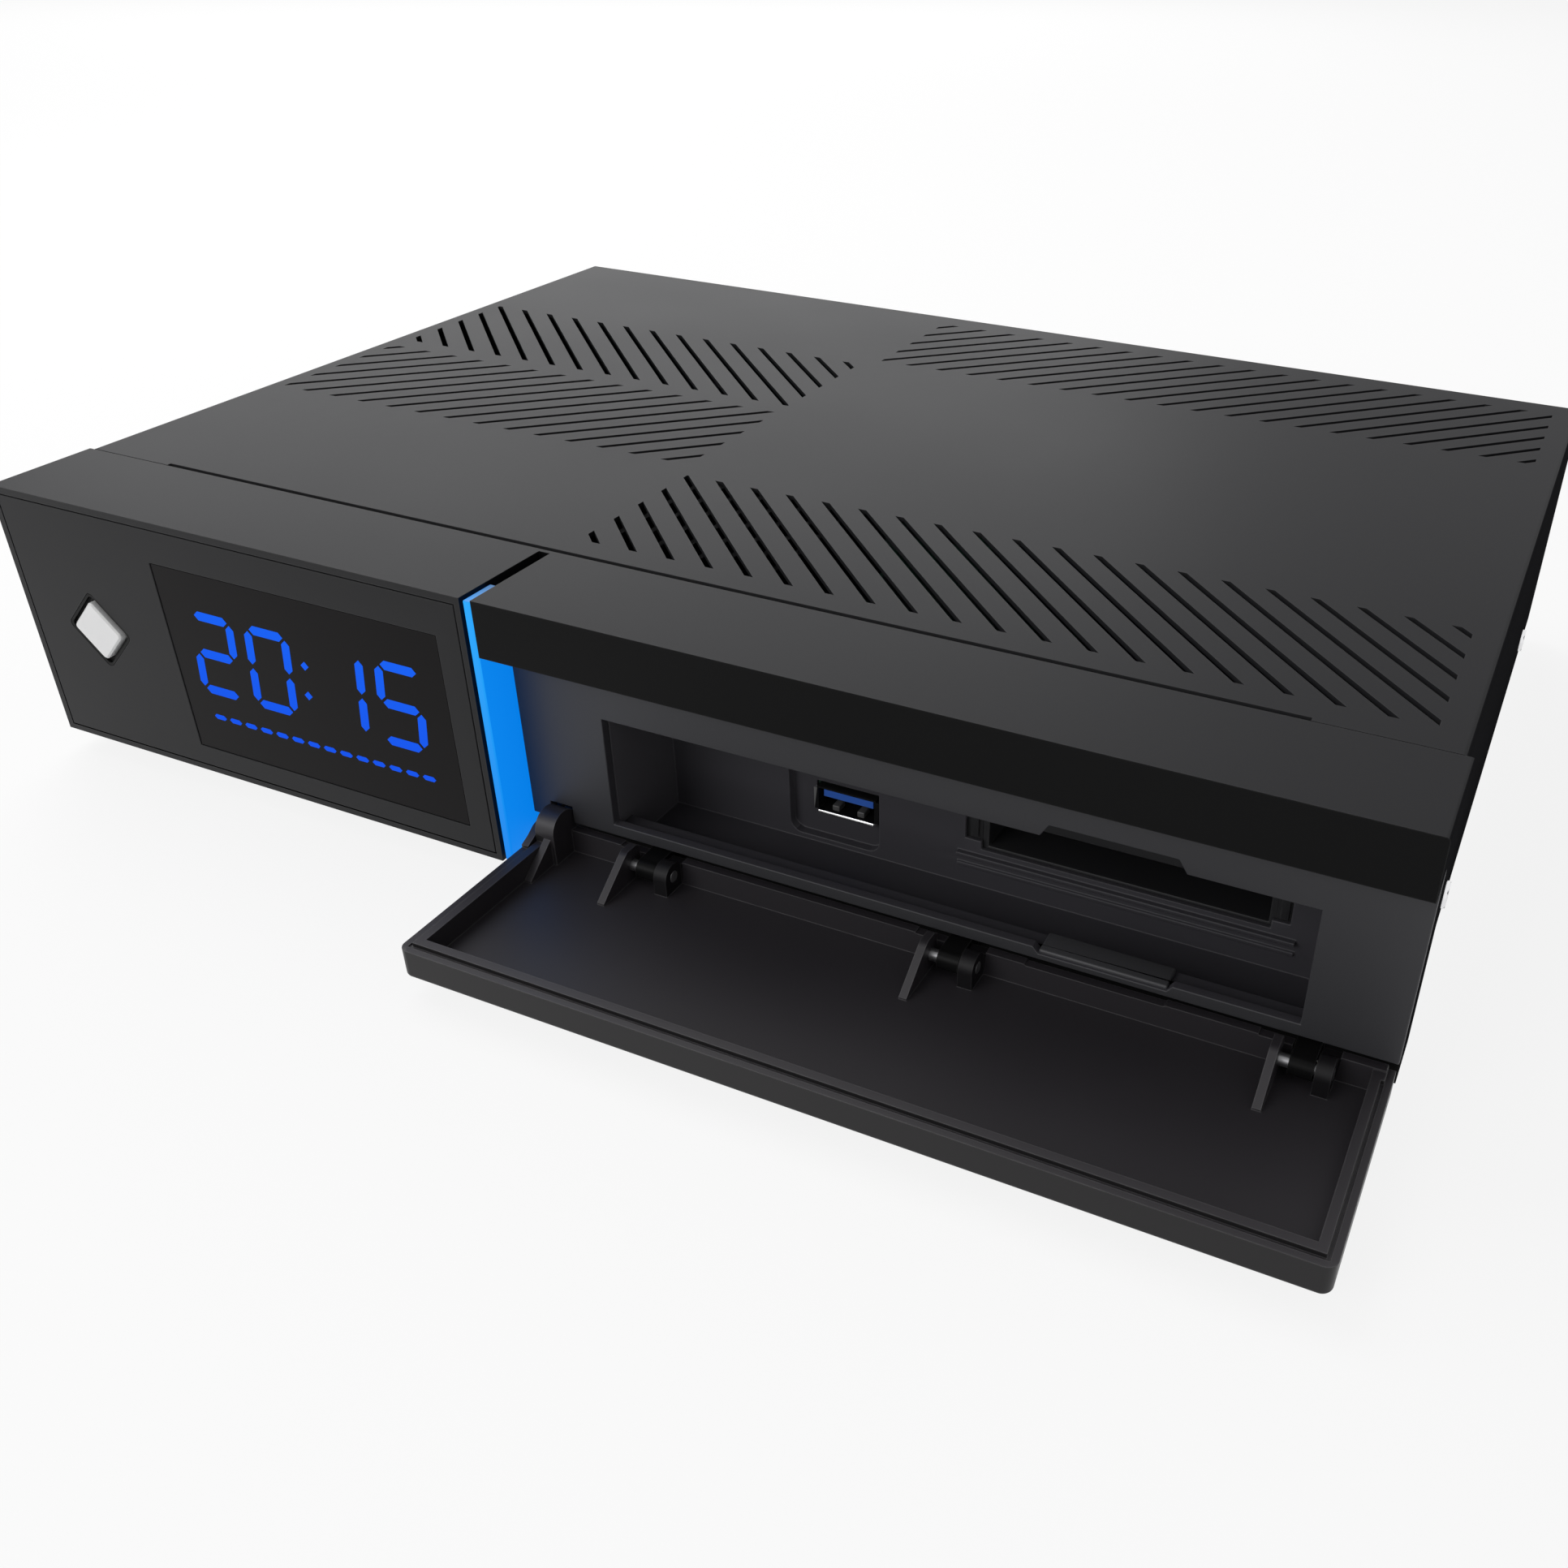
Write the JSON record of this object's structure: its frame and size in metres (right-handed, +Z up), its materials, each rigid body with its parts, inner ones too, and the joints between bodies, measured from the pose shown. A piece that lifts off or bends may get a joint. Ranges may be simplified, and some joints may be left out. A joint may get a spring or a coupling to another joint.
{
  "type": "satellite tv receiver",
  "caption": "Flat set-top satellite receiver with a slotted lid, colour display, glowing edge strip and a drop-down front flap over card and USB sockets.",
  "frame": {"origin": "middle of the footprint with the flap open, on the surface that the rubber feet stand on", "axes": "+X to the right along the front, +Y towards the back sockets, +Z up"},
  "size_m": [0.3, 0.2576, 0.0636],
  "materials": {
    "lid": "fine satin powder coat",
    "chassis": "zinc-plated sheet",
    "rubber": "matt",
    "bezel": "semi gloss",
    "panel": "fine texture",
    "liner": "matt",
    "plate": "satin",
    "display": "smoked, glossy",
    "button": "silver white",
    "light": "glowing blue",
    "board": "solder resist",
    "parts_black": "moulded",
    "bright": "nickel plate",
    "tongue": "blue moulding",
    "door": "semi gloss outside, matt inside",
    "screws": "black oxide",
    "alloy": "extruded",
    "white": "dielectric"
  },
  "bodies": {
    "case": {"top_cover": "lid", "base_pan": "chassis", "rubber_feet": "rubber", "rear_panel": "chassis", "front_bezel": "bezel", "recess_panel": "panel", "recess_liner": "liner", "face_plate": "plate", "display_window": "display", "display_module": "parts_black", "button_surround": "liner", "key_switch": "parts_black", "front_board": "board", "light_guide": "light", "light_board": "board", "hinge_pins": "bright", "usb_front_shell": "bright", "usb_front_tongue": "tongue", "card_cage": "parts_black", "card_contacts": "parts_black", "main_board": "board", "board_stands": "bright", "board_screws": "bright", "board_chips": "parts_black", "heatsink": "alloy", "tuner_left": "bright", "tuner_right": "bright", "f_connectors": "bright", "f_insulators": "white", "lan_socket": "bright", "usb_rear_shells": "bright", "usb_rear_tongues": "tongue", "hdmi_sockets": "bright", "optical_socket": "parts_black", "power_jack": "parts_black", "switch_frame": "parts_black", "lid_screws": "screws", "rear_screws": "screws", "foot_screws": "screws"},
    "door": {"door_panel": "door"},
    "button": {"power_button": "button"},
    "rocker": {"switch_rocker": "parts_black"}
  },
  "joints": [
    {"name": "flap_hinge", "type": "hinge", "parent": "case", "child": "door", "pos_m": [0, -0.08695, 0.00965], "axis": [1, 0, 0], "range_deg": [-90, 0]},
    {"name": "power_press", "type": "slide", "parent": "case", "child": "button", "axis": [0, 1, 0], "range_m": [0, 0.0008], "stiffness_N_per_m": 400, "springref_m": -0.001},
    {"name": "rocker_tilt", "type": "hinge", "parent": "case", "child": "rocker", "pos_m": [-0.104, 0.1172, 0.0254], "axis": [1, 0, 0], "range_deg": [0, 16]}
  ]
}
